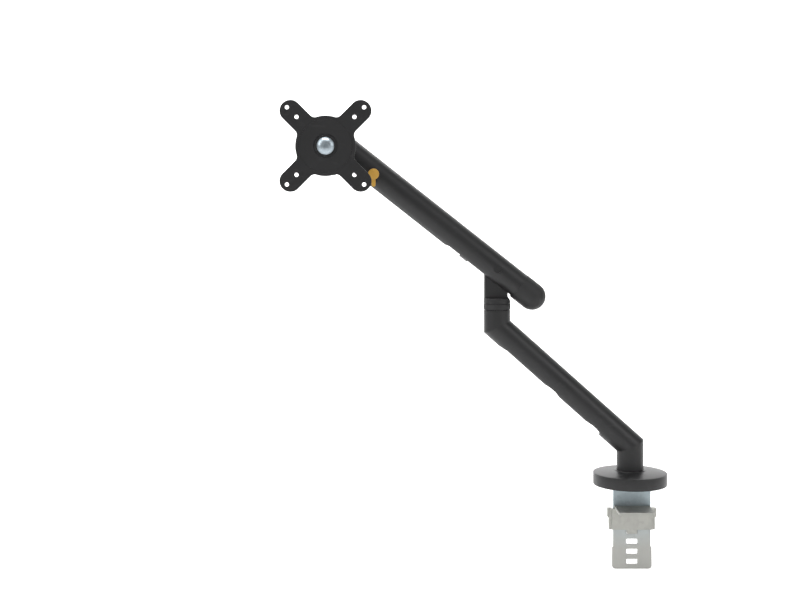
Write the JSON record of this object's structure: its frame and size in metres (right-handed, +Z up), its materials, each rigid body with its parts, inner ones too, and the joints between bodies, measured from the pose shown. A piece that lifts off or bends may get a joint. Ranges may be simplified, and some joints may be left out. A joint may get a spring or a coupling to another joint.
{
  "type": "monitor arm",
  "caption": "Sprung monitor arm with a rear desk clamp, a swivelling lower link, a lifting upper arm and a tilting, turning screen plate.",
  "frame": {"origin": "on the desk's surface, on the axis of the swivel post", "axes": "+Z up out of the desk, -Y the way the screen plate faces, -X from the post along the lower link to the screen"},
  "size_m": [0.5134, 0.1133, 0.6286],
  "materials": {
    "powder_coat": "black satin powder coat with a fine even texture",
    "black_plastic": "fine-textured moulded black plastic",
    "bright_zinc": "bright zinc-plated steel",
    "blue_zinc": "bluish zinc-plated steel sheet",
    "jaw_steel": "dull warm grey plated steel",
    "yellow_plastic": "yellow-orange moulded plastic",
    "rubber": "thin dark rubber sheet",
    "ground_steel": "plain ground steel, lightly oiled",
    "bush_plastic": "natural off-white bearing plastic",
    "spring_steel": "dark oil-tempered spring wire"
  },
  "bodies": {
    "base": {"desk_pad": "rubber", "base_plate": "blue_zinc", "swivel_post": "ground_steel", "post_bolt": "bright_zinc", "foot_washer": "bush_plastic"},
    "cover": {"base_cover": "powder_coat"},
    "screw_left": {"draw_screw_left": "bright_zinc"},
    "screw_right": {"draw_screw_right": "bright_zinc"},
    "clamp": {"clamp_ladder": "blue_zinc", "draw_block": "blue_zinc", "clamp_jaw": "jaw_steel"},
    "lower_arm": {"lower_link": "powder_coat", "foot_bush": "bush_plastic", "elbow_bush": "bush_plastic", "elbow_washer": "bush_plastic", "foot_grub_screw": "ground_steel", "elbow_grub_screw": "ground_steel", "upper_link_cover": "black_plastic", "lower_link_cover": "black_plastic"},
    "elbow": {"elbow_spindle": "ground_steel", "collar_ring": "black_plastic", "knuckle": "powder_coat", "pivot_bushes": "bush_plastic", "rear_link_pin": "ground_steel", "anchor_pin": "ground_steel"},
    "upper_arm": {"arm_tube": "powder_coat", "arm_cover": "black_plastic", "tail_cap": "black_plastic", "nose_cap": "black_plastic", "pivot_pin": "ground_steel", "pivot_spacers": "bush_plastic", "wrist_pin": "ground_steel", "wrist_spacers": "bush_plastic", "spring_seat": "ground_steel", "lift_spring": "spring_steel"},
    "level_link": {"parallel_link": "ground_steel"},
    "rod": {"pull_rod": "ground_steel", "spring_cup": "ground_steel", "tension_nut": "bright_zinc"},
    "wrist": {"wrist_block": "powder_coat", "front_link_pin": "ground_steel", "pan_spindle": "ground_steel", "pan_washer": "bush_plastic", "pan_nut": "bright_zinc"},
    "head": {"pan_yoke": "powder_coat", "tilt_pin": "bright_zinc", "tilt_nut": "bright_zinc"},
    "tilt": {"tilt_block": "powder_coat", "tilt_washers": "bush_plastic", "plate_washer": "bush_plastic", "centre_bolt": "bright_zinc"},
    "plate": {"vesa_plate": "powder_coat"},
    "lock": {"lock_lever": "yellow_plastic", "lock_clip": "ground_steel"}
  },
  "joints": [
    {"name": "base_swivel", "type": "hinge", "parent": "base", "child": "lower_arm", "pos_m": [0, 0, 0.03], "axis": [0, 0, 1], "range_deg": [-180, 180]},
    {"name": "cover_lift", "type": "slide", "parent": "base", "child": "cover", "axis": [0, 0, 1], "range_m": [0, 0.018]},
    {"name": "draw_screw_turn", "type": "hinge", "parent": "base", "child": "screw_left", "pos_m": [-0.0085, 0.026, 0], "axis": [0, 0, -1], "range_deg": [0, 1440]},
    {"name": "draw_screw_right_turn", "type": "hinge", "parent": "base", "child": "screw_right", "pos_m": [0.0195, 0.026, 0], "axis": [0, 0, -1], "range_deg": [0, 1440]},
    {"name": "bracket_draw", "type": "slide", "parent": "base", "child": "clamp", "axis": [0, 0, 1], "range_m": [0, 0.005]},
    {"name": "elbow_swivel", "type": "hinge", "parent": "lower_arm", "child": "elbow", "pos_m": [-0.17822, 0, 0.24], "axis": [0, 0, 1], "range_deg": [-150, 150]},
    {"name": "arm_lift", "type": "hinge", "parent": "elbow", "child": "upper_arm", "pos_m": [-0.17822, 0, 0.28879], "axis": [0, 1, 0], "range_deg": [-70, 3.7], "deforming": ["lift_spring"]},
    {"name": "link_follow", "type": "hinge", "parent": "elbow", "child": "level_link", "pos_m": [-0.17822, 0, 0.27779], "axis": [0, 1, 0], "range_deg": [-70, 3.7]},
    {"name": "rod_follow", "type": "hinge", "parent": "elbow", "child": "rod", "pos_m": [-0.17822, 0, 0.29729], "axis": [0, 1, 0], "range_deg": [-70, 3.7]},
    {"name": "wrist_level", "type": "hinge", "parent": "upper_arm", "child": "wrist", "pos_m": [-0.40479, 0, 0.4674], "axis": [0, 1, 0], "range_deg": [-3.7, 70]},
    {"name": "lock_turn", "type": "hinge", "parent": "upper_arm", "child": "lock", "pos_m": [-0.3433, -0.02, 0.41536], "axis": [0, 1, 0], "range_deg": [-60, 60]},
    {"name": "head_pan", "type": "hinge", "parent": "wrist", "child": "head", "pos_m": [-0.40479, 0, 0.424], "axis": [0, 0, 1], "range_deg": [-180, 10]},
    {"name": "head_tilt", "type": "hinge", "parent": "head", "child": "tilt", "pos_m": [-0.40479, -0.038, 0.451], "axis": [1, 0, 0], "range_deg": [-25, 15]},
    {"name": "plate_rotate", "type": "hinge", "parent": "tilt", "child": "plate", "pos_m": [-0.40479, -0.06, 0.451], "axis": [0, 1, 0], "range_deg": [-90, 90]}
  ],
  "couplings": [
    {"joint": "draw_screw_turn", "follows": "bracket_draw", "rad_per_m": 5026.5},
    {"joint": "draw_screw_right_turn", "follows": "bracket_draw", "rad_per_m": 5026.5},
    {"joint": "link_follow", "follows": "arm_lift", "ratio": 1},
    {"joint": "rod_follow", "follows": "arm_lift", "ratio": 1},
    {"joint": "wrist_level", "follows": "arm_lift", "ratio": -1}
  ]
}
